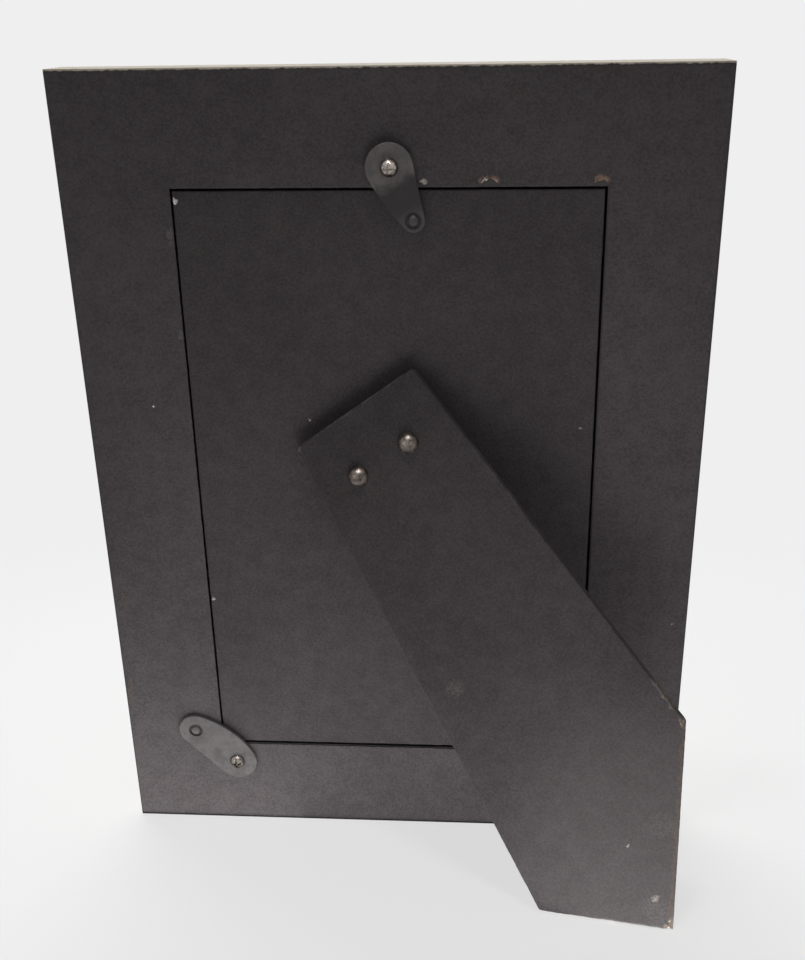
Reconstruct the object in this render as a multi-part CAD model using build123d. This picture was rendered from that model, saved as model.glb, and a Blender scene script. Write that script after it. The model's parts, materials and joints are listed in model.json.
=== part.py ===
from build123d import *
from math import atan2, cos, degrees, radians, sin, sqrt
import os

# Lengths are in millimetres and angles in degrees. The frame is laid out face down, as on a bench: x across,
# y up the frame and z out of its back, from the middle of the rails' bottom back edge. At the end it is stood
# up on its open leg, with +Z up, the back towards +Y and the origin in the middle of its footprint.

overrun = 1.0  # how far a cutter runs past the face that it opens

# Frame of four mitred rails
frame_width = 158.0
frame_height = 212.0
frame_depth = 15.0
border = 27.0  # width of a rail behind, from its outer edge to the opening
lip = 6.0  # how much further the front reaches in, over the glass
edge_round = 1.5
sight_bevel = 3.0
arris_round = 0.4  # both edges of the sight bevel

# V-shaped nails across each mitre, driven from behind
nail_leg = 5.0
nail_gauge = 0.6
nail_depth = 7.0
nail_margin = 8.0  # from the outer edges to the first nail
nail_pitch = 8.5
nails_per_corner = 2

# Black sheet glued over the back of the rails
liner_gauge = 0.35
liner_inset = 0.25

# Pack in the rebate, from the front
glass_thickness = 2.0
glass_gap = 0.8
print_side_gap = 1.2  # print to opening
print_end_gap = 2.8
insert_thickness = 0.3
filler_thickness = 2.0
panel_thickness = 3.0
panel_gap = 0.9
panel_recess = 0.15  # below the back of the rails

# Strut hinge between panel and leg
hinge_offset = -4.2  # from the frame's centre line
hinge_rise = 16.4  # above the middle of the panel
hinge_slant = 35.3
open_angle = 18.4
leaf_width = 24.0
leaf_length = 11.0
leaf_gauge = 0.6
leaf_round = 2.0
knuckle_count = 5
knuckle_gap = 0.2
barrel_gap = 0.2  # barrel to panel, and barrel to leg
pin_diameter = 1.4
pin_clearance = 0.05
pin_head_diameter = 2.2
pin_head_height = 0.4

# Leg: a tapered strip whose foot is a square corner, in line with the frame's edges when it is folded
leg_top_width = 37.6
leg_taper = 5.0  # each side
leg_thickness = 3.0
leg_offset = 0.65  # centre line of the leg from the middle of the hinge
leg_round = 1.2
foot_side_inset = 1.4
foot_base_inset = 2.9
stop_gap = 0.1  # heel of the open leg to the panel

# Rivets of both leaves
rivet_spacing = 15.8
rivet_drop = 5.9  # below the hinge line
rivet_shank = 2.6
rivet_clearance = 0.05
upset_diameter = 4.2
upset_height = 0.7
leg_rivet_head = 5.6
leg_rivet_dome = 2.0
panel_rivet_head = 4.6
panel_rivet_dome = 0.7

# Turn buttons, stamped with one straight and one rounded flank and a pressed finger nub
top_button_reach = 13.4  # pivot to nub
top_button_pivot_radius = 5.7
top_button_tip_radius = 2.8
top_button_flank_radius = 60.0
top_button_offset = 0.9  # from the frame's centre line
top_button_margin = 4.65  # from the opening to the pivot
top_button_angle = -65.6
corner_button_reach = 15.5
corner_button_pivot_radius = 5.7
corner_button_tip_radius = 4.9
corner_button_flank_radius = 26.0
corner_button_offset = 4.2  # from the opening's side edge
corner_button_margin = 5.75
corner_button_angle = 137.8
button_gauge = 1.0
button_round = 0.25
button_gap = 0.15  # over the black sheet
nub_diameter = 2.8
nub_height = 0.5
nub_wall = 0.6
crease_width = 0.55  # groove round the nub
crease_depth = 0.3

# Round-head pivot screws
screw_shank = 2.5
screw_length = 11.0
screw_point = 2.5
screw_head = 4.4
screw_dome = 1.7
screw_clearance = 0.08  # shank to button
pilot_clearance = 0.02  # shank to rail
head_gap = 0.1  # head to button
cross_length = 2.6
cross_width = 0.6
cross_depth = 0.9

# Sizes that follow from those above
rail_width = border + lip
opening_width = frame_width - 2 * border
opening_height = frame_height - 2 * border
glass_width = opening_width - 2 * glass_gap
glass_height = opening_height - 2 * glass_gap
print_width = opening_width - 2 * print_side_gap
print_height = opening_height - 2 * print_end_gap
panel_front = -panel_recess - panel_thickness
filler_front = panel_front - filler_thickness
insert_front = filler_front - insert_thickness
rebate_floor = insert_front - glass_thickness
knuckle_pitch = leaf_width / knuckle_count
knuckle_length = knuckle_pitch - knuckle_gap
knuckle_radius = pin_diameter / 2 + pin_clearance + leaf_gauge
knuckle_relief = knuckle_radius + knuckle_gap
barrel_height = knuckle_radius + barrel_gap
hinge_gap = 2 * barrel_height  # folded leg to panel
rivet_hole = rivet_shank + 2 * rivet_clearance
button_base = liner_gauge + button_gap
screw_seat = button_base + button_gauge + head_gap

# The leg's heel turns about the barrel until it meets the panel, and that stops it at the open angle.
heel_drop = barrel_height + (hinge_gap - barrel_height) * cos(radians(open_angle)) - stop_gap
heel = heel_drop / sin(radians(open_angle))

hinge_plane = Plane(
    origin=(hinge_offset, frame_height / 2 + hinge_rise, -panel_recess),
    x_dir=(cos(radians(hinge_slant)), sin(radians(hinge_slant)), 0),
    z_dir=(0, 0, 1),
)
hinge_axis = Axis(hinge_plane.origin + hinge_plane.z_dir * barrel_height, hinge_plane.x_dir)
rivet_places = [hinge_plane * Pos(side * rivet_spacing / 2, -rivet_drop, 0) for side in (-1, 1)]

top_pivot = Pos(top_button_offset, frame_height - border + top_button_margin, 0)
corner_pivot = Pos(corner_button_offset - opening_width / 2, border - corner_button_margin, 0)
button_pivots = {"top": top_pivot, "corner": corner_pivot}
button_angles = {"top": top_button_angle, "corner": corner_button_angle}
turn_buttons = {
    "top": (top_button_reach, top_button_pivot_radius, top_button_tip_radius, top_button_flank_radius),
    "corner": (
        corner_button_reach, corner_button_pivot_radius, corner_button_tip_radius, corner_button_flank_radius
    ),
}


def drill(diameter, bottom, top):
    depth = top - bottom + 2 * overrun
    bit = Cylinder(diameter / 2, depth, align=(Align.CENTER, Align.CENTER, Align.MIN))
    return Pos(0, 0, bottom - overrun) * bit


def hang_down(diameter, length):
    return Cylinder(diameter / 2, length, align=(Align.CENTER, Align.CENTER, Align.MAX))


def dome(diameter, height):
    crown = TangentArc((0, height), (diameter / 2, 0), tangent=(1, 0))
    base = Polyline((diameter / 2, 0), (0, 0), (0, height))
    return revolve(Plane.XZ * make_face(crown + base), Axis.Z)


def board(width, height, front, thickness):
    return Pos(0, frame_height / 2, front) * extrude(Rectangle(width, height), thickness)


def corner_v_nails():
    flat = Rectangle(nail_leg, nail_gauge, align=(Align.MIN, Align.MIN))
    upright = Rectangle(nail_gauge, nail_leg, align=(Align.MIN, Align.MIN))
    nail = extrude(flat + upright, -nail_depth)
    places = [nail_margin + step * nail_pitch for step in range(nails_per_corner)]
    low = [Pos(place - frame_width / 2, place, 0) * nail for place in places]
    side = low + [mirror(one, Plane((0, frame_height / 2, 0), z_dir=(0, 1, 0))) for one in low]
    return side + [mirror(one, Plane.YZ) for one in side]


def rail(length):
    section = make_face(Polyline(
        (0, 0),
        (0, -frame_depth),
        (rail_width - sight_bevel, -frame_depth),
        (rail_width, sight_bevel - frame_depth),
        (rail_width, rebate_floor),
        (border, rebate_floor),
        (border, 0),
        close=True,
    ))
    bevel_corners = [corner for corner in section.vertices() if corner.X > border and corner.Y < rebate_floor]
    section = fillet(bevel_corners, arris_round)
    front_corner = section.vertices().sort_by(lambda corner: corner.X + corner.Y)[0]
    bar = extrude(Plane.YZ * fillet(front_corner, edge_round), length / 2, both=True)
    mitres = make_face(Polyline(
        (-length / 2, 0),
        (length / 2, 0),
        (length / 2 - rail_width, rail_width),
        (rail_width - length / 2, rail_width),
        close=True,
    ))
    return bar & extrude(mitres, -frame_depth)


def frame_rails(nails):
    # left and right are as seen from the front
    turns = {"rail_bottom": 0, "rail_left": 90, "rail_top": 180, "rail_right": 270}
    rails = {}
    for name, turn in turns.items():
        lies_flat = turn % 180 == 0
        length, reach = (frame_width, frame_height) if lies_flat else (frame_height, frame_width)
        placed = Pos(0, frame_height / 2, 0) * Rot(0, 0, turn) * Pos(0, -reach / 2, 0) * rail(length)
        rails[name] = placed - nails
    pilot = drill(screw_shank + 2 * pilot_clearance, screw_seat - screw_length, 0)
    rails["rail_top"] -= top_pivot * pilot
    rails["rail_bottom"] -= corner_pivot * pilot
    return rails


def rear_liner():
    sheet = Rectangle(frame_width - 2 * liner_inset, frame_height - 2 * liner_inset)
    window = Rectangle(opening_width + 2 * liner_inset, opening_height + 2 * liner_inset)
    liner = Pos(0, frame_height / 2, 0) * extrude(sheet - window, liner_gauge)
    hole = drill(screw_shank + 2 * screw_clearance, 0, liner_gauge)
    return liner - [pivot * hole for pivot in button_pivots.values()]


def back_panel():
    width = opening_width - 2 * panel_gap
    height = opening_height - 2 * panel_gap
    panel = board(width, height, panel_front, panel_thickness)
    upset_room = hang_down(upset_diameter + 2 * rivet_clearance, upset_height)
    seat = Pos(0, 0, upset_height - panel_thickness) * upset_room
    for place in rivet_places:
        panel -= place * drill(rivet_hole, -panel_thickness, 0)
        panel -= place * seat
    return panel


def along_hinge(middle, diameter, length):
    return Pos(middle, 0, barrel_height) * Rot(0, 90, 0) * Cylinder(diameter / 2, length)


def hinge_leaf(first_knuckle):
    # lies on z = 0, below a barrel of every second knuckle
    plate = Pos(0, -knuckle_relief, 0) * Rectangle(
        leaf_width, leaf_length - knuckle_relief, align=(Align.CENTER, Align.MAX)
    )
    leaf = extrude(fillet(plate.vertices().group_by(Axis.Y)[0], leaf_round), leaf_gauge)
    for index in range(first_knuckle, knuckle_count, 2):
        middle = (index + 0.5) * knuckle_pitch - leaf_width / 2
        strap = Box(knuckle_length, knuckle_relief, leaf_gauge, align=(Align.CENTER, Align.MAX, Align.MIN))
        leaf += Pos(middle, 0, 0) * strap
        leaf += along_hinge(middle, 2 * knuckle_radius, knuckle_length)
    leaf -= along_hinge(0, pin_diameter + 2 * pin_clearance, leaf_width)
    for side in (-1, 1):
        leaf -= Pos(side * rivet_spacing / 2, -rivet_drop, 0) * drill(rivet_hole, 0, leaf_gauge)
    return leaf


def hinge_pin():
    pin = along_hinge(0, pin_diameter, leaf_width)
    for side in (-1, 1):
        pin += along_hinge(side * (leaf_width + pin_head_height) / 2, pin_head_diameter, pin_head_height)
    return hinge_plane * pin


def rivet(head_diameter, head_height, grip):
    upset = Pos(0, 0, -grip) * hang_down(upset_diameter, upset_height)
    return dome(head_diameter, head_height) + hang_down(rivet_shank, grip) + upset


def rivet_pair(one, height):
    return [place * Pos(0, 0, height) * one for place in rivet_places]


def easel_leg():
    hinge = Vector(hinge_offset, frame_height / 2 + hinge_rise)
    across = hinge_plane.x_dir
    up = hinge_plane.y_dir
    foot = Vector(frame_width / 2 - foot_side_inset, foot_base_inset)
    top = hinge + up * heel + across * leg_offset
    top_left = top - across * (leg_top_width / 2)
    top_right = top + across * (leg_top_width / 2)
    right_way = across * sin(radians(leg_taper)) - up * cos(radians(leg_taper))
    left_way = -across * sin(radians(leg_taper)) - up * cos(radians(leg_taper))
    side_end = top_right + right_way * ((foot.X - top_right.X) / right_way.X)
    base_end = top_left + left_way * ((foot.Y - top_left.Y) / left_way.Y)
    outline = make_face(Polyline(top_left, top_right, side_end, foot, base_end, close=True))
    worn = [corner for corner in outline.vertices() if (Vector(corner) - foot).length > leg_round]
    leg = Pos(0, 0, hinge_gap - panel_recess) * extrude(fillet(worn, leg_round), leg_thickness)
    return leg - [place * drill(rivet_hole, hinge_gap, hinge_gap + leg_thickness) for place in rivet_places]


def turn_button(reach, pivot_radius, tip_radius, flank_radius):
    pivot = Vector(0, 0)
    tip = Vector(reach, 0)

    # the rounded flank is an arc that holds both round ends and touches them
    to_pivot = flank_radius - pivot_radius
    to_tip = flank_radius - tip_radius
    along = (reach**2 + to_pivot**2 - to_tip**2) / (2 * reach)
    centre = Vector(along, sqrt(to_pivot**2 - along**2))
    arc_start, arc_end = [centre + (end - centre).normalized() * flank_radius for end in (pivot, tip)]
    arc_middle = centre + ((arc_start + arc_end) / 2 - centre).normalized() * flank_radius
    rounded = ThreePointArc(arc_start, arc_middle, arc_end)

    # the straight flank touches both ends on the other side
    slope = (pivot_radius - tip_radius) / reach
    outward = Vector(slope, sqrt(1 - slope**2))
    straight = Line(pivot + outward * pivot_radius, tip + outward * tip_radius)

    pivot_end = ThreePointArc(rounded @ 0, (-pivot_radius, 0), straight @ 0)
    tip_end = ThreePointArc(rounded @ 1, (reach + tip_radius, 0), straight @ 1)
    plate = extrude(make_face(rounded + straight + pivot_end + tip_end), button_gauge)
    plate = fillet(plate.edges().group_by(Axis.Z)[-1], button_round)
    crease_floor = button_gauge - crease_depth
    plate -= Pos(reach, 0, overrun) * drill(nub_diameter + 2 * crease_width, crease_floor, button_gauge)
    nub = Pos(reach, 0, crease_floor) * dome(nub_diameter, crease_depth + nub_height)
    hollow = Pos(reach, 0, 0) * dome(nub_diameter - 2 * nub_wall, button_gauge + nub_height - nub_wall)
    return plate + nub - hollow - drill(screw_shank + 2 * screw_clearance, 0, button_gauge)


def button_screw():
    screw = dome(screw_head, screw_dome) + hang_down(screw_shank, screw_length - screw_point)
    point = Cone(0, screw_shank / 2, screw_point, align=(Align.CENTER, Align.CENTER, Align.MAX))
    screw += Pos(0, 0, screw_point - screw_length) * point
    for length, width in ((cross_length, cross_width), (cross_width, cross_length)):
        slot = Box(length, width, cross_depth + overrun, align=(Align.CENTER, Align.CENTER, Align.MIN))
        screw -= Pos(0, 0, screw_dome - cross_depth) * slot
    return screw


def swing_open(piece):
    return piece.rotate(hinge_axis, -open_angle)


nails = corner_v_nails()
leg_leaf = mirror(hinge_leaf(1), Plane.XY.offset(barrel_height))
leg_rivet = rivet(leg_rivet_head, leg_rivet_dome, leg_thickness + leaf_gauge)
panel_rivet = rivet(panel_rivet_head, panel_rivet_dome, leaf_gauge + panel_thickness - upset_height)

pieces = frame_rails(nails)
pieces["corner_v_nails"] = Compound(nails)
pieces["rear_liner"] = rear_liner()
pieces["glass_pane"] = board(glass_width, glass_height, rebate_floor, glass_thickness)
pieces["photo_insert"] = board(print_width, print_height, insert_front, insert_thickness)
pieces["filler_card"] = board(glass_width, glass_height, filler_front, filler_thickness)
pieces["back_panel"] = back_panel()
pieces["hinge_panel_leaf"] = hinge_plane * hinge_leaf(0)
pieces["hinge_pin"] = hinge_pin()
pieces["panel_rivets"] = Compound(rivet_pair(panel_rivet, leaf_gauge))
pieces["hinge_leg_leaf"] = swing_open(hinge_plane * leg_leaf)
pieces["leg_rivets"] = swing_open(Compound(rivet_pair(leg_rivet, hinge_gap + leg_thickness)))
pieces["easel_leg"] = swing_open(easel_leg())
for name, pivot in button_pivots.items():
    button = Rot(0, 0, button_angles[name]) * turn_button(*turn_buttons[name])
    pieces[f"turn_button_{name}"] = pivot * Pos(0, 0, button_base) * button
    pieces[f"button_screw_{name}"] = pivot * Pos(0, 0, screw_seat) * button_screw()

# The frame leans back on its bottom edge until the lowest corner of the open leg is level with that edge.
lean = min(degrees(atan2(corner.Y, corner.Z)) for corner in pieces["easel_leg"].vertices())
upright = Rot(-lean, 0, 0) * Plane((0, 0, 0), x_dir=(-1, 0, 0), z_dir=(0, 1, 0)).location
footprint = Compound([upright * pieces["rail_bottom"], upright * pieces["easel_leg"]]).bounding_box()
stand = Pos(0, -(footprint.min.Y + footprint.max.Y) / 2, 0) * upright

os.makedirs("parts", exist_ok=True)
for name, piece in pieces.items():
    export_step(stand * piece, f"parts/{name}.step")
print(f"{len(pieces)} pieces, lean {lean:.2f} degrees, heel {heel:.2f} mm above the hinge line")
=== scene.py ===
import bpy
import json
from math import cos, pi, radians, sin, sqrt
from mathutils import Euler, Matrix, Quaternion, Vector, noise
from mathutils.geometry import convex_hull_2d


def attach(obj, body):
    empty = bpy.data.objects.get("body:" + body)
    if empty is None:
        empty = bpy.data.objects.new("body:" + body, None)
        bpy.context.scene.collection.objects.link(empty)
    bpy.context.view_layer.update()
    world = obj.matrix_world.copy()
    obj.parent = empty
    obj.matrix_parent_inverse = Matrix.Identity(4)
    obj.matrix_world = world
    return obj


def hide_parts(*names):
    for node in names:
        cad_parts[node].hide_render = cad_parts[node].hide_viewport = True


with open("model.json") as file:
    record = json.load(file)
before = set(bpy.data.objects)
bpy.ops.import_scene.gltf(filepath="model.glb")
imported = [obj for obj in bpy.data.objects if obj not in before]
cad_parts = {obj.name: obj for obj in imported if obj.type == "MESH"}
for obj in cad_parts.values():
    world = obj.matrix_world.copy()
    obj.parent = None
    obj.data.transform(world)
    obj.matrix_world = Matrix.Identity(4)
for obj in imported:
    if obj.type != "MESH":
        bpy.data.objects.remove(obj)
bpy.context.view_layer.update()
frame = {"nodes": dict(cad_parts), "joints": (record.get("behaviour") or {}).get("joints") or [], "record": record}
nodes = frame["nodes"]
mm = 0.001


class Bench:
    # a flat working frame with millimetres along its own axes: x across, y up, z out
    def __init__(self, origin, across, up):
        self.origin = origin
        self.axes = (across, up, across.cross(up))

    def place(self, x, y, z):
        return self.origin + sum((axis * (size * mm) for axis, size in zip(self.axes, (x, y, z))), Vector())

    def read(self, point):
        return Vector([(point - self.origin).dot(axis) / mm for axis in self.axes])

    def points(self, node):
        return [self.read(vertex.co) for vertex in nodes[node].data.vertices]

    def span(self, node, axis):
        values = [point[axis] for point in self.points(node)]
        return min(values), max(values)


def named(rows, name):
    return next(row for row in rows if row["name"] == name)


# The back as someone behind the frame sees it, and the leg's own plane about the hinge line
baseMount = named(frame["record"]["mounts"], "base_edge")
hinge = named(frame["joints"], "easel_hinge")
backBench = Bench(Vector(baseMount["pos_m"]), Vector((-1, 0, 0)), -Vector(baseMount["axis"]))
backBench.origin += backBench.axes[2] * (backBench.span("rail_bottom", 2)[1] * mm)
hingeAxis = Vector(hinge["axis"])
legOut = Quaternion(hingeAxis, -radians(hinge["range_deg"][1])) @ backBench.axes[2]
legBench = Bench(Vector(hinge["pos_m"]), hingeAxis, legOut.cross(hingeAxis))

onBack = 0.01  # how near to the rails' back face a point counts as on it
halfWidth = backBench.span("rail_bottom", 0)[1]
fullHeight = backBench.span("rail_top", 1)[1]
halfOpening = min(abs(point.x) for point in backBench.points("rail_left") if abs(point.z) < onBack)
border = halfWidth - halfOpening
rebateFloor = backBench.span("glass_pane", 2)[0]
print(f"back is {2 * halfWidth:.1f} by {fullHeight:.1f} mm, border {border:.1f} mm, rebate {-rebateFloor:.2f} mm")


class Wire:
    # a node socket that takes part in sums, so that shader maths reads as maths
    def __init__(self, tree, socket=None):
        self.tree = tree
        self.socket = socket

    def add(self, kind, settings=None, inputs=None, out=0):
        node = self.tree.nodes.new(kind)
        for name, value in (settings or {}).items():
            setattr(node, name, value)
        for key, value in (inputs or {}).items():
            if isinstance(value, Wire):
                self.tree.links.new(value.socket, node.inputs[key])
            else:
                node.inputs[key].default_value = value
        return Wire(self.tree, node.outputs[out] if node.outputs else None)

    def maths(self, operation, *values):
        return self.add("ShaderNodeMath", {"operation": operation}, dict(enumerate(values)))

    def __add__(self, other):
        return self.maths("ADD", self, other)

    def __sub__(self, other):
        return self.maths("SUBTRACT", self, other)

    def __rsub__(self, other):
        return self.maths("SUBTRACT", other, self)

    def __mul__(self, other):
        return self.maths("MULTIPLY", self, other)

    def __truediv__(self, other):
        return self.maths("DIVIDE", self, other)

    def __abs__(self):
        return self.maths("ABSOLUTE", self)

    __radd__ = __add__
    __rmul__ = __mul__


def least(a, b):
    return a.maths("MINIMUM", a, b)


def most(a, b):
    return a.maths("MAXIMUM", a, b)


def rise(value, start, end):
    # 0 before start, 1 after end, smooth between
    limits = {"Value": value, "From Min": start, "From Max": end}
    return value.add("ShaderNodeMapRange", {"interpolation_type": "SMOOTHSTEP"}, limits)


def colourOf(value):
    return value if isinstance(value, Wire) else (*value, 1)


def blend(share, under, over):
    sides = {0: share, 6: colourOf(under), 7: colourOf(over)}  # 6, 7 and out 2 are a Mix node's colours
    return share.add("ShaderNodeMix", {"data_type": "RGBA"}, sides, out=2)


def stretched(sizes, x=1.0, y=1.0):
    return sizes[0].add("ShaderNodeCombineXYZ", None, {0: sizes[0] * x, 1: sizes[1] * y, 2: sizes[2]})


def clouds(place, size, detail=3.0, roughness=0.55):
    # soft noise from 0 to 1, where size is the width of a cloud in millimetres
    values = {"Vector": place, "Scale": 1 / size, "Detail": detail, "Roughness": roughness}
    return place.add("ShaderNodeTexNoise", None, values)


def spot(sizes, mark, core=0.1):
    # 1 in the middle of a mark, 0 outside it
    x, y, halfAcross, halfUp = mark
    over = (sizes[0] - x) / halfAcross
    along = (sizes[1] - y) / halfUp
    return 1 - rise(over * over + along * along, core, 1.0)


def strip(sizes, start, end, reach, core=0.2):
    # 1 on the line from start to end, 0 at reach from it
    along = Vector(end) - Vector(start)
    length = along.length
    along /= length
    x, y = sizes[0] - start[0], sizes[1] - start[1]
    off = abs(x * -along.y + y * along.x)
    gone = x * along.x + y * along.y
    ends = rise(gone, -reach, reach) * (1 - rise(gone, length - reach, length + reach))
    return (1 - rise(off, core * reach, reach)) * ends


def cleared(holder):
    # the emptied node tree of a material or a world
    holder.use_nodes = True
    holder.node_tree.nodes.clear()
    return Wire(holder.node_tree)


def startFinish(name, bench=backBench):
    # a new material with millimetre coordinates on a bench, whole and by axis
    finish = bpy.data.materials.new(name)
    point = cleared(finish).add("ShaderNodeTexCoord", out="Object")
    offset = point.add("ShaderNodeVectorMath", {"operation": "SUBTRACT"}, {0: point, 1: bench.origin})
    sizes = [
        offset.add("ShaderNodeVectorMath", {"operation": "DOT_PRODUCT"}, {0: offset, 1: axis / mm}, out="Value")
        for axis in bench.axes
    ]
    return finish, stretched(sizes), sizes


def endFinish(finish, values, height=None, relief=0.0):
    # relief is the depth in millimetres that the height map stands for
    wire = Wire(finish.node_tree)
    values = {key: colourOf(value) if "Color" in key else value for key, value in values.items()}
    if height is not None:
        values["Normal"] = wire.add("ShaderNodeBump", None, {"Height": height, "Distance": relief * mm})
    shader = wire.add("ShaderNodeBsdfPrincipled", None, values)
    wire.add("ShaderNodeOutputMaterial", None, {"Surface": shader})
    return finish


# One layer of noise for each kind of wear
seeds = {
    "fray": 1, "arris": 2, "chip": 3, "outerFray": 4, "innerFray": 5, "tear": 6, "cockle": 7, "bare": 8, "topFray": 9,
}


def wander(x, y, size, seed):
    # even noise from 0 to 1 that depends only on the place
    return 0.5 + 0.5 * noise.noise(Vector((x / size, y / size, seeds[seed])))


def uneven(x, y, size, seed, spread=1.2):
    # a factor about 1 that depends only on the place
    return 1 + spread * (wander(x, y, size, seed) - 0.5)


def nearness(x, y, place, width):
    away = (Vector((x, y)) - Vector(place)).length / width
    return max(0.0, 1 - away * away)


# Black paper face of the sheet, the panel and the leg
paperLook = {
    "deep": (0.049, 0.0429, 0.0442),
    "pale": (0.094, 0.0837, 0.0864),
    "fibre": (0.150, 0.116, 0.094),
    "tornFibre": (0.44, 0.40, 0.365),
    "bareCard": (0.80, 0.77, 0.75),
    "tearBrown": (0.25, 0.170, 0.128),
    # a lighter grey for smudges and rubs, also used for painted light on the leg's foot and along arrises
    "scuffAndPaintedLight": (0.165, 0.152, 0.150),
    "brown": (0.115, 0.090, 0.072),
    # noises: width in millimetres, detail, roughness
    "grain": (0.55, 4.0, 0.65),
    "mottle": (5.0,),
    "drift": (45.0, 2.0),
    "ragged": (1.1, 4.0, 0.7),
    "tufts": (0.5,),
    "toneShares": (0.6, 0.2, 0.2),  # of grain, mottle and drift
    "toneRange": (0.30, 0.70),
    "markRange": (0.30, 0.62),  # of the grain that takes a mark
    "tuftRange": (0.54, 0.68),
    "shake": 3.5,  # how far the noise moves a mark's edge
    # a lighter grey along the arris: rub wear, partly painted edge highlight
    "rubAndEdgeLightRange": (0.25, 0.60),
    "rubAndEdgeLightNoise": 0.5,
    "rubAndEdgeLightShare": 0.45,
    "wornRange": (0.62, 1.0),
    "wornNoise": 1.1,
    "wornHeight": 0.5,
    "relief": 0.04,
    "roughness": 0.74,
    "roughnessSpan": 0.2,
    "specular": 0.06,
}


def paperFinish(name, bench, marks, shade):
    look = paperLook
    finish, place, sizes = startFinish(name, bench)
    noises = ("grain", "mottle", "drift", "ragged", "tufts")
    grain, mottle, drift, ragged, tufts = (clouds(place, *look[key]) for key in noises)
    grainShare, mottleShare, driftShare = look["toneShares"]
    tone = grainShare * grain + mottleShare * mottle + driftShare * drift
    deep, pale = (Vector(look[key]) * shade for key in ("deep", "pale"))
    colour = blend(rise(tone, *look["toneRange"]), deep, pale)
    shaken = [size + look["shake"] * (noisy - 0.5) for size, noisy in zip(sizes, (ragged, mottle))]
    for mark in marks:
        inside = strip(shaken, *mark["along"]) if "along" in mark else spot(shaken, mark["at"])
        share = inside * mark["share"]
        if not mark.get("even"):
            share *= rise(grain, *look["markRange"])
        colour = blend(share, colour, look[mark["colour"]])
    bare = place.add("ShaderNodeAttribute", {"attribute_name": "bare"}, out="Fac")
    # the lighter arris line is rub wear and partly painted edge highlight
    rubbed = rise(bare + look["rubAndEdgeLightNoise"] * (ragged - 0.5), *look["rubAndEdgeLightRange"])
    worn = rise(bare + look["wornNoise"] * (ragged - 0.5), *look["wornRange"])
    fibre = blend(rise(tufts, *look["tuftRange"]), look["fibre"], look["tornFibre"])
    colour = blend(look["rubAndEdgeLightShare"] * rubbed, colour, look["scuffAndPaintedLight"])
    colour = blend(worn, colour, fibre)
    roughness = look["roughness"] + look["roughnessSpan"] * grain
    values = {"Base Color": colour, "Roughness": roughness, "Specular IOR Level": look["specular"]}
    return endFinish(finish, values, grain + look["wornHeight"] * worn, look["relief"])


def addObject(name, data):
    thing = bpy.data.objects.new(name, data)
    bpy.context.scene.collection.objects.link(thing)
    return thing


def makePiece(name, bench, rows, closed, finish, node, body):
    # rows are loops of (x, y, z, bare), each as long as the next, from the far side round to the near one
    count = len(rows[0])
    mesh = bpy.data.meshes.new(name)
    corners = [bench.place(*corner[:3]) for row in rows for corner in row]
    faces = []
    for row in range(len(rows) if closed else len(rows) - 1):
        low, high = row * count, (row + 1) % len(rows) * count
        for step in range(count):
            after = (step + 1) % count
            faces.append((low + step, low + after, high + after, high + step))
    flat = 0
    if not closed:
        faces.append(tuple(reversed(range(count))))
        faces.append(tuple(range((len(rows) - 1) * count, len(rows) * count)))
        flat = 2
    mesh.from_pydata(corners, [], faces)
    mesh.polygons.foreach_set("use_smooth", [True] * (len(faces) - flat) + [False] * flat)
    bare = mesh.attributes.new("bare", "FLOAT", "POINT")
    bare.data.foreach_set("value", [corner[3] for row in rows for corner in row])
    mesh.materials.append(finish)
    piece = addObject(name, mesh)
    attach(piece, body)
    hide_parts(node)
    print("made", name, "with", len(faces), "faces")


class Outline:
    # the straight sides and round corners of a board, which can be walked at any distance inside them
    def __init__(self, flat, shortestSide):
        hull = [flat[index] for index in convex_hull_2d(flat)]
        sides = [(start, end - start) for start, end in zip(hull, hull[1:] + hull[:1])]
        sides = [side for side in sides if side[1].length > shortestSide]
        self.inwards = [Vector((-along.y, along.x)).normalized() for _, along in sides]
        self.corners, self.rounds = [], []
        for index, (start, along) in enumerate(sides):
            lastStart, lastAlong = sides[index - 1]
            corner = start + along * ((lastStart - start).cross(lastAlong) / along.cross(lastAlong))
            bend = self.inwards[index - 1].dot(self.inwards[index])
            gap = min((point - corner).length for point in hull)
            self.corners.append(corner)
            self.rounds.append(gap / (sqrt(2 / (1 + bend)) - 1))

    def within(self, index, inset):
        # where a corner comes to lie when both of its sides move in
        before, after = self.inwards[index - 1], self.inwards[index]
        return self.corners[index] + (before + after) * (inset / (1 + before.dot(after)))

    def walk(self, step):
        # side and share of it for each place
        for side, corner in enumerate(self.corners):
            parts = round((self.corners[(side + 1) % len(self.corners)] - corner).length / step)
            for part in range(parts):
                yield side, part / parts

    def place(self, side, share, inset):
        ends = (side, (side + 1) % len(self.corners))
        start, end = (self.within(index, inset) for index in ends)
        point = start.lerp(end, share)
        for index, corner in zip(ends, (start, end)):
            radius = max(self.rounds[index] - inset, 0.0)
            centre = self.within(index, inset + radius)
            touch = centre - self.inwards[side] * radius
            if (point - touch).dot(corner - touch) > 0:
                point = centre + (point - centre).normalized() * radius
        return point


def grown(flat, cover):
    # an outline with a cover's thickness added at its left, right, bottom and top
    left, right, bottom, top = cover
    middle = Vector([(min(values) + max(values)) / 2 for values in zip(*flat)])
    away = Vector([(max(values) - min(values)) / 2 for values in zip(*flat)])
    points = []
    for point in flat:
        x, y = ((point - middle)[axis] / away[axis] for axis in (0, 1))
        points.append(point + Vector((x * (right if x > 0 else left), y * (top if y > 0 else bottom))))
    return points


def rounded(size, high, bareness, steps):
    # the section of an arris, from a board's side up to its face
    turns = [pi / 2 * step / steps for step in range(steps + 1)]
    return [(size * (1 - cos(turn)), high - size * (1 - sin(turn)), bareness) for turn in turns]


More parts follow.
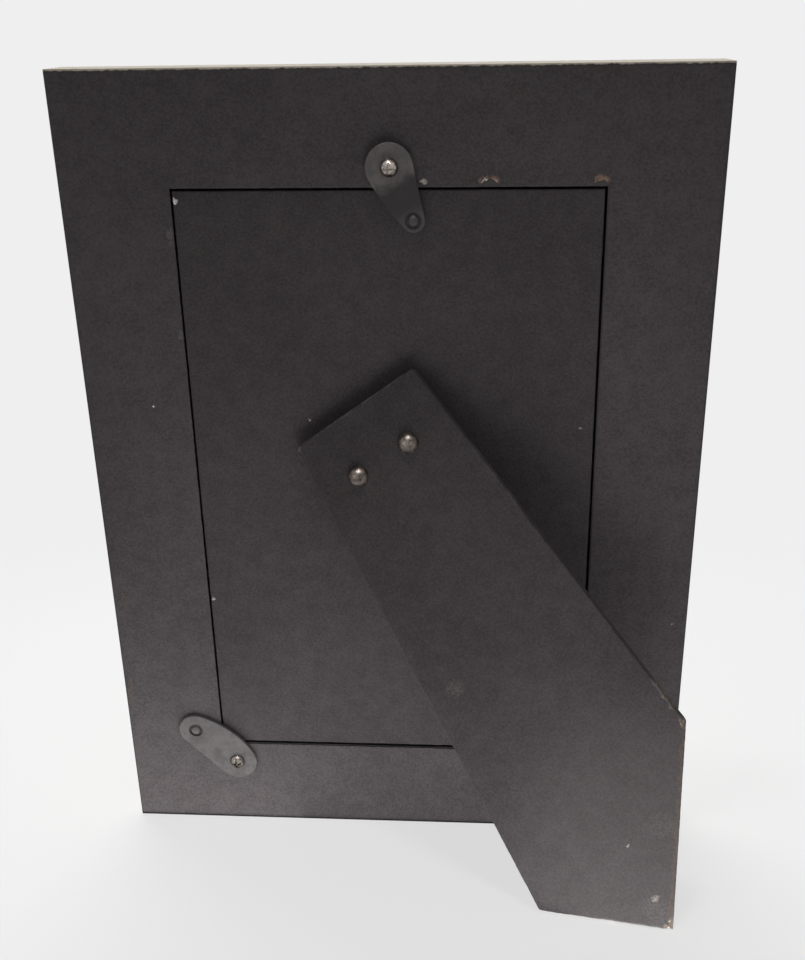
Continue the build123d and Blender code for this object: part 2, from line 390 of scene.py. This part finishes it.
def boardRows(bench, node, look):
    # a board with the outline of its node, whose arris is worn unevenly and chipped, and lighter where rubbed or given
    # painted edge highlight
    outline = Outline(grown([point.xy for point in bench.points(node)], look["cover"]), look["shortestSide"])
    low, high = bench.span(node, 2)
    columns = []
    for side, share in outline.walk(look["step"]):
        x, y = outline.place(side, share, 0)
        chip = sum(nearness(x, y, place, width) * depth for place, width, depth in look["chips"])
        chip *= uneven(x, y, look["chipGrain"], "chip")
        fray = look["fray"] * wander(x, y, look["frayGrain"], "fray")
        size = look["arris"] * uneven(x, y, look["arrisGrain"], "arris", spread=1.0) + chip
        # rubs raise the lighter arris line: wear, and on the leg's top and upper right edges partly painted highlight
        rub = max((nearness(x, y, place, width) * amount for place, width, amount in look["rubsAndEdgeLight"]), default=0.0)
        bareness = (look["bareness"] + rub) * uneven(x, y, look["bareGrain"], "bare") + chip
        column = [(look["arris"], low, bareness), (0, low + look["arris"], bareness)]
        column += rounded(size, high, bareness, look["arrisSteps"])
        column.append((size + look["margin"], high, 0))
        columns.append([(*outline.place(side, share, fray + inset), height, bare) for inset, height, bare in column])
    return [list(row) for row in zip(*columns)]


panelLook = {
    "shade": 0.84,
    "cover": (0.50, 0.35, 0.50, 0.35),  # left, right, bottom and top
    "shortestSide": 4.0,
    "step": 0.45,
    "arris": 0.25,
    "arrisSteps": 4,
    "arrisGrain": 2.5,
    "fray": 0.12,
    "frayGrain": 0.9,
    "margin": 0.5,
    "bareness": 0.15,
    "bareGrain": 6.0,
    "rubsAndEdgeLight": [],
    "chipGrain": 0.7,
    "chips": [((-51.1, 181.6), 0.9, 0.6), ((-51.1, 74.4), 0.8, 0.7), ((-51.1, 57.2), 0.9, 0.5)],
}
panelMarks = [
    {"at": (-51.0, 181.6, 0.7, 0.8), "share": 1.6, "colour": "bareCard"},
    {"at": (-50.9, 74.4, 0.5, 0.8), "share": 1.3, "colour": "tornFibre"},
    {"at": (48.0, 124.8, 0.5, 0.5), "share": 1.8, "colour": "tornFibre"},
    {"at": (-21.3, 126.8, 0.45, 0.5), "share": 1.8, "colour": "tornFibre"},
]
panelPaper = paperFinish("panelPaper", backBench, panelMarks, panelLook["shade"])
panelRows = boardRows(backBench, "back_panel", panelLook)
makePiece("backBoard", backBench, panelRows, False, panelPaper, "back_panel", "frame")

legLook = {
    "shade": 0.82,
    "cover": (0.0, 0.0, 0.0, 0.0),
    "shortestSide": 4.0,
    "step": 0.4,
    "arris": 0.35,
    "arrisSteps": 4,
    "arrisGrain": 2.5,
    "fray": 0.15,
    "frayGrain": 1.1,
    "margin": 0.5,
    "bareness": 0.03,
    "bareGrain": 5.0,
    # rubs on the top edge and the upper right edge are partly painted edge highlight; those near the foot corners are
    # wear
    "rubsAndEdgeLight": [
        ((2.0, 9.2), 24.0, 0.45), ((22.0, -25.0), 34.0, 0.35), ((28.0, -92.0), 12.0, 0.6), ((-12.0, -137.0), 22.0, 0.5),
    ],
    "chipGrain": 0.8,
    "chips": [
        ((-2.2, -143.4), 2.0, 0.9), ((28.7, -100.4), 1.8, 0.8), ((28.2, -95.5), 0.9, 0.5), ((27.8, -92.5), 0.8, 0.45),
        ((27.4, -88.5), 0.9, 0.45), ((-18.0, 9.2), 1.2, 0.7),
    ],
}
legMarks = [
    # painted light: a broad soft lighter patch over the foot, partly wear from standing on tables
    {"at": (6.0, -130.0, 50.0, 50.0), "share": 0.15, "colour": "scuffAndPaintedLight", "even": True},
    {"at": (-16.6, -65.0, 3.4, 2.6), "share": 0.22, "colour": "scuffAndPaintedLight"},
    {"at": (-1.6, -135.5, 1.3, 1.1), "share": 0.5, "colour": "tornFibre"},
    {"at": (-3.4, -138.5, 4.5, 5.0), "share": 0.20, "colour": "scuffAndPaintedLight"},
    {"at": (-0.5, -120.3, 0.42, 0.42), "share": 1.0, "colour": "tornFibre"},
    {"at": (9.6, -119.9, 5.0, 4.0), "share": 0.12, "colour": "scuffAndPaintedLight"},
    {"along": ((28.8, -100.2), (-1.8, -142.8), 0.8), "share": 0.75, "colour": "brown"},
]
legPaper = paperFinish("legPaper", legBench, legMarks, legLook["shade"])
legRows = boardRows(legBench, "easel_leg", legLook)
makePiece("legBoard", legBench, legRows, False, legPaper, "easel_leg", "leg")

linerLook = {
    "shade": 1.03,
    "step": 0.5,
    "arris": 0.1,
    "arrisSteps": 3,
    "bareness": 0.2,
    "lap": [0.10, 0.10, 0.30, 0.45],  # bottom, right, top and left inner edges, beyond the node's
    "fray": 0.28,
    "frayGrain": 0.8,
    "frayReach": 3.0,
    "cockle": 0.06,
    "cockleGrain": 16.0,
    "across": [0.7, 2.0, 5.0, 9.0],
    "tearGrain": 1.2,
    "tears": [((24.5, 185.2), 2.6, 1.6), ((50.2, 185.2), 2.2, 1.3), ((8.8, 185.2), 0.9, 0.6)],
    "topFray": 0.5,
    "topFrayEnds": 5.0,
}


def edgeShift(fray, fromEdge, reach):
    # how far a ragged edge pulls in a point of the sheet, fading with the distance from that edge
    return fray * max(0.0, 1 - fromEdge / (reach + fray))


def linerRows(look):
    points = backBench.points("rear_liner")
    low, high = backBench.span("rear_liner", 2)
    bottom, top = backBench.span("rear_liner", 1)
    half = max(point.x for point in points)
    width = half - min(abs(point.x) for point in points if abs(point.x) > halfOpening)
    arris = rounded(look["arris"], high, look["bareness"], look["arrisSteps"])
    outer = [(0, low, look["bareness"])] + arris + [(inset, high, 0.0) for inset in look["across"]]
    inner = [(width - inset, height, bare) for inset, height, bare in reversed(outer)]
    section = outer + [(width / 2, high, 0.0)] + inner
    ring = [Vector((-half, bottom)), Vector((half, bottom)), Vector((half, top)), Vector((-half, top))]
    columns = []
    for index, corner in enumerate(ring):
        after = ring[(index + 1) % len(ring)]
        along = (after - corner).normalized()
        inward = Vector((-along.y, along.x))
        parts = round((after - corner).length / look["step"])
        for part in range(parts):
            outerPoint = corner.lerp(after, part / parts)
            innerPoint = (corner + (inward + along) * width).lerp(after + (inward - along) * width, part / parts)
            outerFray = look["fray"] * wander(*outerPoint, look["frayGrain"], "outerFray")
            if corner.y == after.y == top:  # the top edge is frayed more, but not at its ends
                ends = min(1.0, min((outerPoint - corner).length, (after - outerPoint).length) / look["topFrayEnds"])
                outerFray += ends * look["topFray"] * wander(*outerPoint, look["tearGrain"], "topFray")
            innerFray = look["fray"] * wander(*innerPoint, look["frayGrain"], "innerFray") - look["lap"][index]
            ragged = uneven(*innerPoint, look["tearGrain"], "tear")
            for place, reach, depth in look["tears"]:
                innerFray += nearness(*innerPoint, place, reach) * depth * ragged
            column = []
            for inset, height, bare in section:
                shift = edgeShift(outerFray, inset, look["frayReach"])
                shift -= edgeShift(innerFray, width - inset, look["frayReach"])
                point = outerPoint.lerp(innerPoint, inset / width) + inward * shift
                cockle = look["cockle"] * wander(*point, look["cockleGrain"], "cockle")
                column.append((*point, height if height == low else height - cockle, bare))
            columns.append(column)
    return [list(row) for row in zip(*columns)]


linerMarks = [
    {"at": (-52.7, 173.8, 0.9, 2.4), "share": 0.45, "colour": "scuffAndPaintedLight"},
    {"at": (-51.7, 113.0, 0.5, 1.0), "share": 0.4, "colour": "scuffAndPaintedLight"},
    {"at": (-52.6, 149.3, 0.6, 1.5), "share": 0.8, "colour": "scuffAndPaintedLight"},
    {"at": (-61.3, 130.3, 0.45, 0.45), "share": 1.4, "colour": "bareCard"},
    {"at": (75.1, 69.4, 0.5, 0.5), "share": 0.9, "colour": "tornFibre"},
    {"at": (24.3, 186.0, 2.8, 1.7), "share": 1.5, "colour": "tearBrown"},
    {"at": (24.2, 186.1, 1.9, 1.0), "share": 1.8, "colour": "bareCard"},
    {"at": (50.4, 185.9, 2.3, 1.6), "share": 1.2, "colour": "tearBrown"},
    {"at": (9.2, 186.2, 1.0, 0.9), "share": 1.1, "colour": "tornFibre"},
    {"at": (-75.9, 73.8, 1.2, 4.0), "share": 0.4, "colour": "brown"},
    {"at": (-77.3, 44.3, 1.0, 5.0), "share": 0.4, "colour": "brown"},
]
linerPaper = paperFinish("linerPaper", backBench, linerMarks, linerLook["shade"])
makePiece("linerSheet", backBench, linerRows(linerLook), True, linerPaper, "rear_liner", "frame")

lacquerLook = {
    "cream": (0.74, 0.665, 0.555),
    "warm": (0.66, 0.575, 0.45),
    "stain": (0.040, 0.035, 0.034),
    # near black on the rebate walls: painted shade in the gap round the panel, over a guessed black paint
    "rebate": (0.012, 0.010, 0.010),
    "rub": (0.42, 0.33, 0.235),
    "brush": 0.8,
    "brushStretch": 0.04,
    "mottle": 14.0,
    "ragged": (2.2, 5.0, 0.65),  # width in millimetres, detail, roughness
    "creamShares": (0.6, 0.4),  # of mottle and brush
    "creamRange": (0.35, 0.70),
    "mitreBlur": 0.02,
    "stainEdge": -0.9,
    "stainBlur": 0.2,
    "stainNoise": 1.6,
    "rebateBlur": (0.10, 0.05),
    "topWear": (0.55, 0.22),  # where the stain starts to wear off below the top, and where it is gone
    "topNoise": 1.2,
    "rubWidth": 0.5,
    "rubNoise": 1.4,
    "hairline": (0.027, 0.09),
    "roughness": 0.42,
    "roughnessSpan": 0.12,
    "specular": 0.3,
    "relief": 0.02,
}


def lacquerFinish():
    look = lacquerLook
    finish, place, sizes = startFinish("creamLacquer")
    x, y, z = sizes
    fromSide = halfWidth - abs(x)
    fromEnd = least(y, fullHeight - y)
    inset = least(fromSide, fromEnd)
    mitre = fromSide - fromEnd
    level = rise(mitre, -look["mitreBlur"], look["mitreBlur"])
    brushLevel = clouds(stretched(sizes, x=look["brushStretch"]), look["brush"])
    brushUp = clouds(stretched(sizes, y=look["brushStretch"]), look["brush"])
    brush = level * brushLevel + (1 - level) * brushUp
    ragged = clouds(place, *look["ragged"])
    mottleShare, brushShare = look["creamShares"]
    tone = mottleShare * clouds(place, look["mottle"]) + brushShare * brush
    cream = blend(rise(tone, *look["creamRange"]), look["cream"], look["warm"])
    fromArris = most(inset, z - backBench.span("rail_top", 2)[0])
    rubbed = 1 - rise(fromArris + look["rubNoise"] * (ragged - 0.5), 0, look["rubWidth"])
    cream = blend(rubbed, cream, look["rub"])
    cream = blend(1 - rise(abs(mitre), *look["hairline"]), cream, look["rub"])
    back = rise(z + look["stainNoise"] * (ragged - 0.5), look["stainEdge"] - look["stainBlur"], look["stainEdge"])
    # painted shade: the rebate walls, above the rebate floor, are painted near black
    inShadedOpening = rise(inset, *(border - blur for blur in look["rebateBlur"]))
    aboveFloor = rise(z, *(rebateFloor - blur for blur in look["rebateBlur"]))
    topWorn = rise(y + look["topNoise"] * (ragged - 0.5), *(fullHeight - below for below in look["topWear"]))
    colour = blend(back * (1 - topWorn), cream, look["stain"])
    colour = blend(inShadedOpening * aboveFloor, colour, look["rebate"])
    roughness = look["roughness"] + look["roughnessSpan"] * brush
    values = {"Base Color": colour, "Roughness": roughness, "Specular IOR Level": look["specular"]}
    return endFinish(finish, values, brush, look["relief"])


steelLooks = {
    "rivetSteel": {
        "bright": (0.210, 0.178, 0.160), "dull": (0.060, 0.048, 0.042), "metal": 0.8, "rough": 0.25, "tarnish": 1.6,
    },
    "screwNickel": {
        "bright": (0.430, 0.385, 0.345), "dull": (0.070, 0.058, 0.050), "metal": 1.0, "rough": 0.18, "tarnish": 1.2,
    },
    "hingeSteel": {
        "bright": (0.300, 0.290, 0.270), "dull": (0.160, 0.145, 0.130), "metal": 0.9, "rough": 0.36, "tarnish": 3.0,
    },
    "nailSteel": {
        "bright": (0.400, 0.400, 0.410), "dull": (0.260, 0.250, 0.240), "metal": 1.0, "rough": 0.32, "tarnish": 3.0,
    },
}
steelSkin = {
    "tarnishNoise": (5.0, 0.65),  # detail and roughness
    "grit": (0.35, 3.0, 0.6),
    "shares": (0.75, 0.25),  # of tarnish and grit
    "range": (0.36, 0.64),
    "roughnessSpan": 0.15,
    "specular": 0.25,
    "relief": 0.008,
}


def startSteel(name, look):
    skin = steelSkin
    finish, place, sizes = startFinish(name)
    tarnish = clouds(place, look["tarnish"], *skin["tarnishNoise"])
    grit = clouds(place, *skin["grit"])
    tarnishShare, gritShare = skin["shares"]
    tone = rise(tarnishShare * tarnish + gritShare * grit, *skin["range"])
    return finish, sizes, tarnish, grit, blend(tone, look["bright"], look["dull"])


def endSteel(finish, look, tarnish, grit, colour):
    skin = steelSkin
    roughness = look["rough"] + skin["roughnessSpan"] * tarnish
    values = {"Base Color": colour, "Metallic": look["metal"], "Roughness": roughness}
    return endFinish(finish, {**values, "Specular IOR Level": skin["specular"]}, grit, skin["relief"])


def steelFinish(name, look):
    finish, _, tarnish, grit, colour = startSteel(name, look)
    return endSteel(finish, look, tarnish, grit, colour)


# each look's blade value is how strongly painted shade darkens the blade between pivot and nub
buttonLooks = {
    "topButtonSteel": {
        "bright": (0.128, 0.116, 0.114), "dull": (0.088, 0.080, 0.080), "metal": 0.1, "rough": 0.46, "tarnish": 3.0,
        "node": "turn_button_top", "joint": "top_button_turn", "bladeShade": 0.92,
    },
    "cornerButtonSteel": {
        "bright": (0.124, 0.115, 0.116), "dull": (0.082, 0.075, 0.076), "metal": 0.1, "rough": 0.46, "tarnish": 3.0,
        "node": "turn_button_corner", "joint": "corner_button_turn", "bladeShade": 0.10,
    },
}
# the dark colour of the painted shade on the blade and in the nub's crease, which is partly dirt; the tip end is
# darkened less
buttonShadeAndDirt = {
    "colour": (0.022, 0.018, 0.020),
    "crown": 0.05,  # how far below the nub's top a point still counts as its top
    "bladeRange": (0.12, 0.40),  # shares of the way from the pivot to the nub
    "tipRange": (0.75, 1.0),
    "tipShadeCut": 0.45,
    "bladeNoise": 0.3,
    "ring": 1.6,
    "ringWidth": (0.1125, 0.75),
    "ringShadeShare": 0.9,
    "ringRange": (0.25, 0.50),
}


def buttonFinish(name, look):
    # painted shade: the blade between pivot and nub is darkened as a painted dark reflection, and a dark ring is
    # painted in the crease round the nub, partly dirt
    shadeAndDirt = buttonShadeAndDirt
    finish, sizes, tarnish, grit, colour = startSteel(name, look)
    points = backBench.points(look["node"])
    crown = max(point.z for point in points) - shadeAndDirt["crown"]
    nubPoints = [point.xy for point in points if point.z > crown]
    nub = sum(nubPoints, Vector((0, 0))) / len(nubPoints)
    pivot = backBench.read(Vector(named(frame["joints"], look["joint"])["pos_m"])).xy
    reach = (nub - pivot) / (nub - pivot).length_squared
    gone = (sizes[0] - pivot.x) * reach.x + (sizes[1] - pivot.y) * reach.y + shadeAndDirt["bladeNoise"] * (tarnish - 0.5)
    bladeShade = look["bladeShade"] * rise(gone, *shadeAndDirt["bladeRange"]) * (1 - shadeAndDirt["tipShadeCut"] * rise(gone, *shadeAndDirt["tipRange"]))
    x, y = sizes[0] - nub.x, sizes[1] - nub.y
    square = x * x + y * y
    # painted shade: a dark ring in the crease round the nub, partly dirt
    ring = 1 - rise(abs(square.maths("SQRT", square) - shadeAndDirt["ring"]), *shadeAndDirt["ringWidth"])
    colour = blend(bladeShade, colour, shadeAndDirt["colour"])
    colour = blend(shadeAndDirt["ringShadeShare"] * ring * rise(grit, *shadeAndDirt["ringRange"]), colour, shadeAndDirt["colour"])
    return endSteel(finish, look, tarnish, grit, colour)


def plainFinish(name, look):
    finish, place, _ = startFinish(name)
    grain = clouds(place, *look["grain"])
    colour = blend(grain, look["deep"], look["pale"])
    return endFinish(finish, {"Base Color": colour, "Roughness": look["roughness"]}, grain, look["relief"])


def raysOf(wire, *names):
    return [wire.add("ShaderNodeLightPath", out=name) for name in names]


glassLook = {
    "clear": (0.975, 0.992, 0.985),
    "smear": (0.945, 0.965, 0.955),
    "cloud": 30.0,
    "smearRange": (0.4, 0.7),
    "roughness": 0.02,
    "bending": 1.5,
}


def glassFinish():
    look = glassLook
    finish, place, _ = startFinish("clearGlass")
    tint = blend(rise(clouds(place, look["cloud"]), *look["smearRange"]), look["clear"], look["smear"])
    values = {"Base Color": tint, "Roughness": look["roughness"], "IOR": look["bending"], "Transmission Weight": 1.0}
    glass = place.add("ShaderNodeBsdfPrincipled", None, values)
    clear = place.add("ShaderNodeBsdfTransparent")
    passed = most(*raysOf(place, "Is Shadow Ray", "Is Diffuse Ray"))  # light reaches the insert unbent
    shown = place.add("ShaderNodeMixShader", None, {0: passed, 1: glass, 2: clear})
    place.add("ShaderNodeOutputMaterial", None, {"Surface": shown})
    return finish


insertLook = {
    "deep": (0.80, 0.79, 0.75),
    "pale": (0.87, 0.86, 0.83),
    "grain": (1.2, 4.0, 0.6),
    "roughness": 0.8,
    "relief": 0.03,
    "gap": 0.03,
}


def insertRows(look):
    # a flat sheet that stays just clear of the glass
    left, right = backBench.span("photo_insert", 0)
    bottom, top = backBench.span("photo_insert", 1)
    low, high = backBench.span("photo_insert", 2)
    corners = [(left, bottom), (right, bottom), (right, top), (left, top)]
    return [[(x, y, height, 0.0) for x, y in corners] for height in (low + look["gap"], high)]


insertPaper = plainFinish("insertPaper", insertLook)
makePiece("insertSheet", backBench, insertRows(insertLook), False, insertPaper, "photo_insert", "frame")

fillerLook = {
    "deep": (0.34, 0.30, 0.25),
    "pale": (0.46, 0.42, 0.36),
    "grain": (0.8, 4.0, 0.6),
    "roughness": 0.9,
    "relief": 0.03,
}
finishes = {name: steelFinish(name, look) for name, look in steelLooks.items()}
finishes.update({name: buttonFinish(name, look) for name, look in buttonLooks.items()})
finishes["creamLacquer"] = lacquerFinish()
finishes["clearGlass"] = glassFinish()
finishes["fillerBoard"] = plainFinish("fillerBoard", fillerLook)
wearers = {
    "creamLacquer": ["rail_top", "rail_bottom", "rail_left", "rail_right"],
    "clearGlass": ["glass_pane"],
    "fillerBoard": ["filler_card"],
    "nailSteel": ["corner_v_nails"],
    "hingeSteel": ["hinge_panel_leaf", "hinge_leg_leaf", "hinge_pin", "panel_rivets"],
    "rivetSteel": ["leg_rivets"],
    "topButtonSteel": ["turn_button_top"],
    "cornerButtonSteel": ["turn_button_corner"],
    "screwNickel": ["button_screw_top", "button_screw_corner"],
}
for finishName, names in wearers.items():
    for name in names:
        for slot in nodes[name].material_slots:
            slot.material = finishes[finishName]
print("finished", sum(len(names) for names in wearers.values()), "nodes")

stageLook = {
    "paper": 0.863,  # the pale grey that sight, reflections and glass meet
    "floorSight": 0.85,  # the floor's grey for sight, before shadowShare
    "floorBounce": 0.27,  # the floor's grey for light that it throws on
    "floorSize": 4.0,
    "floorLit": 0.53,  # what sight gets from the open floor by the lamps alone
    "shadowShare": 0.40,
    "shadowNear": 0.12,  # metres from the middle
    "shadowFar": 0.42,
    "ambient": 0.20,
}


def seenRays(wire):
    camera, glossy, transmission = raysOf(wire, "Is Camera Ray", "Is Glossy Ray", "Is Transmission Ray")
    return most(camera, most(glossy, transmission))


def grey(tone):
    if isinstance(tone, Wire):
        return tone.add("ShaderNodeCombineXYZ", None, dict.fromkeys(range(3), tone))
    return (tone, tone, tone)


def layFloor(look):
    half = look["floorSize"] / 2
    mesh = bpy.data.meshes.new("floor")
    mesh.from_pydata([(-half, -half, 0), (half, -half, 0), (half, half, 0), (-half, half, 0)], [], [(0, 1, 2, 3)])
    floor = addObject("floor", mesh)
    finish = bpy.data.materials.new("floorPaper")
    wire = cleared(finish)
    point = wire.add("ShaderNodeTexCoord", out="Object")
    away = wire.add("ShaderNodeVectorMath", {"operation": "LENGTH"}, {0: point}, out="Value")
    seen = seenRays(wire)
    share = look["shadowShare"] * (1 - rise(away, look["shadowNear"], look["shadowFar"]))
    tone = blend(seen, grey(look["floorBounce"]), grey(look["floorSight"] * share))
    glow = grey(seen * (look["paper"] - look["floorLit"] * share))
    values = {"Base Color": tone, "Roughness": 1.0, "Specular IOR Level": 0.0}
    mesh.materials.append(endFinish(finish, {**values, "Emission Color": glow, "Emission Strength": 1.0}))


def lightSky(look):
    world = bpy.data.worlds.new("studio")
    bpy.context.scene.world = world
    wire = cleared(world)
    dim = wire.add("ShaderNodeBackground", None, {"Color": colourOf(grey(look["ambient"]))})
    pale = wire.add("ShaderNodeBackground", None, {"Color": colourOf(grey(look["paper"]))})
    shown = wire.add("ShaderNodeMixShader", None, {0: seenRays(wire), 1: dim, 2: pale})
    wire.add("ShaderNodeOutputWorld", None, {"Surface": shown})


upwards = Vector((0, 0.0001, 1))  # a hair off plumb, so that the lamp's turn is settled
onTable = 0.0004  # light that a pale table throws up starts just above it
lamps = {
    "glowLeft": {"at": (0.095, 0.0165, onTable), "size": (0.13, 0.069), "watts": 0.088},
    "glowBehind": {"at": (-0.045, 0.0065, onTable), "size": (0.15, 0.049), "watts": 0.042},
    "glowUnder": {"at": (-0.05, 0.06, onTable), "size": (0.16, 0.06), "watts": 0.115},
    "glowFront": {"at": (-0.06, 0.115, onTable), "size": (0.16, 0.05), "watts": 0.100},
    "topLamp": {"at": (0.05, 0.22, 0.80), "aim": (0.0, 0.0, 0.08), "size": (0.08, 0.08), "watts": 0.75},
    "shineLamp": {"at": (0.04, 0.30, 0.55), "aim": (0.0, 0.03, 0.12), "size": (0.30, 0.10), "watts": 1.7},
    "sideLamp": {"at": (0.35, 0.36, 0.14), "aim": (0.0, 0.0, 0.12), "size": (0.06, 0.06), "watts": 0.14},
    "glowRoom": {"at": (0.35, -0.95, 0.60), "aim": (0.0, 0.0, 0.08), "size": (1.4, 1.4), "watts": 14.0},
}


def hangLamp(name, look):
    lamp = bpy.data.lights.new(name, "AREA")
    lamp.energy = look["watts"]
    lamp.shape = "RECTANGLE"
    lamp.size, lamp.size_y = look["size"]
    holder = addObject(name, lamp)
    holder.location = look["at"]
    towards = Vector(look["aim"]) - holder.location if "aim" in look else upwards
    holder.rotation_euler = towards.to_track_quat("-Z", "Y").to_euler()
    holder.visible_camera = False
    holder.visible_glossy = not name.startswith("glow")  # a glow isn't mirrored
    holder.visible_diffuse = not name.startswith("shine")  # a shine is only mirrored


cameraLook = {
    "at": (-0.02497, 0.29146, 0.1666),
    "turn": (77.7369, 0.1151, -176.3617),  # degrees
    "lens": 42.438,
    "shift": (-0.0158, 0.01957),
    "nearest": 0.01,
}


def setCamera(look):
    camera = bpy.data.cameras.new("photoCamera")
    camera.lens = look["lens"]
    camera.shift_x, camera.shift_y = look["shift"]
    camera.clip_start = look["nearest"]
    holder = addObject("photoCamera", camera)
    holder.location = look["at"]
    holder.rotation_euler = Euler([radians(angle) for angle in look["turn"]])
    bpy.context.scene.camera = holder


layFloor(stageLook)
lightSky(stageLook)
for name, look in lamps.items():
    hangLamp(name, look)
setCamera(cameraLook)
bpy.context.scene.view_settings.view_transform = "Standard"
print("stage, lamps and camera set")
